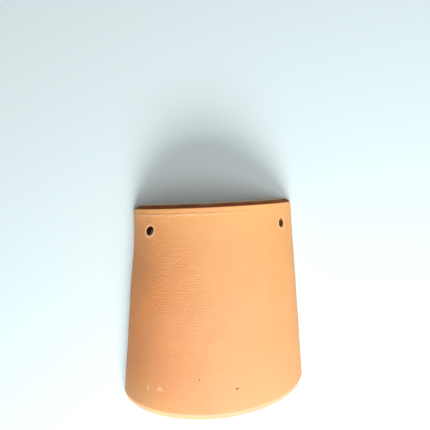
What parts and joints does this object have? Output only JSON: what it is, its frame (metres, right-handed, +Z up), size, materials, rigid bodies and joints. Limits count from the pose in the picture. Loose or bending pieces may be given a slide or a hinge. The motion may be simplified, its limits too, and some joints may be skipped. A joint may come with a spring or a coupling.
{
  "type": "clay roof tile",
  "caption": "Short tapered barrel roof tile of unglazed fired clay, with rubbed ends and a nail hole at each side of its narrow head.",
  "frame": {"origin": "middle of the tile's outer box, on the surface that its two long edges lie on", "axes": "+Y along the tile from the wide nose to the narrow head, +Z up through the crown, +X to the right seen from the nose"},
  "size_m": [0.1832, 0.2015, 0.0652],
  "materials": {
    "fired_clay": "matte, unglazed, fine ripples and pits of wet-formed clay"
  },
  "bodies": {
    "root": {"roof_tile": "fired_clay"}
  },
  "joints": []
}
